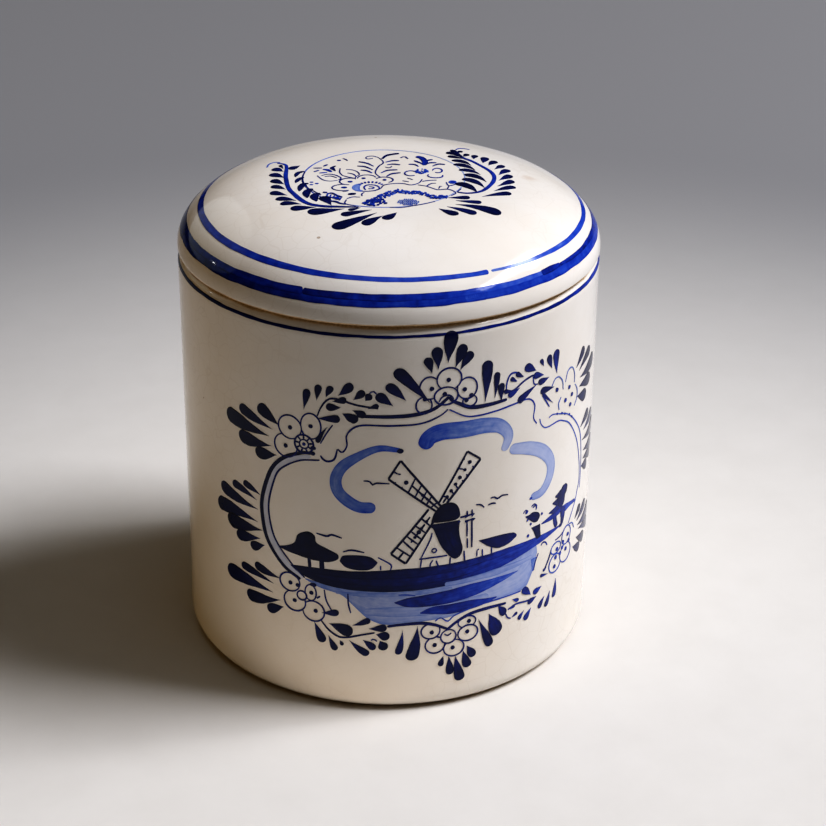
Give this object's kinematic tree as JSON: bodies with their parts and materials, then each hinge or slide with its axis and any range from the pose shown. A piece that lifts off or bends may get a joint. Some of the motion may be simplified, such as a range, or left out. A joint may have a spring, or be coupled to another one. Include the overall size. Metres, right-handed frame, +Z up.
{
  "type": "lidded ceramic jar",
  "caption": "Straight-sided round glazed ceramic jar with a low domed lift-off lid that a hidden flange centres in the mouth.",
  "frame": {"origin": "centre of the foot ring, on the plane the jar stands on", "axes": "+Z up along the jar's axis of revolution and the lid's lift line; -Y is the decorated front"},
  "size_m": [0.106, 0.106, 0.1227],
  "materials": {
    "body_glaze": "warm white gloss glaze with cobalt blue brushwork under it",
    "lid_glaze": "warm white gloss glaze with cobalt blue brushwork under it"
  },
  "bodies": {
    "jar": {"jar_body": "body_glaze"},
    "lid": {"lid": "lid_glaze"}
  },
  "joints": [
    {"name": "lid_lift", "type": "slide", "parent": "jar", "child": "lid", "axis": [0, 0, 1], "range_m": [0, 0.06]}
  ]
}
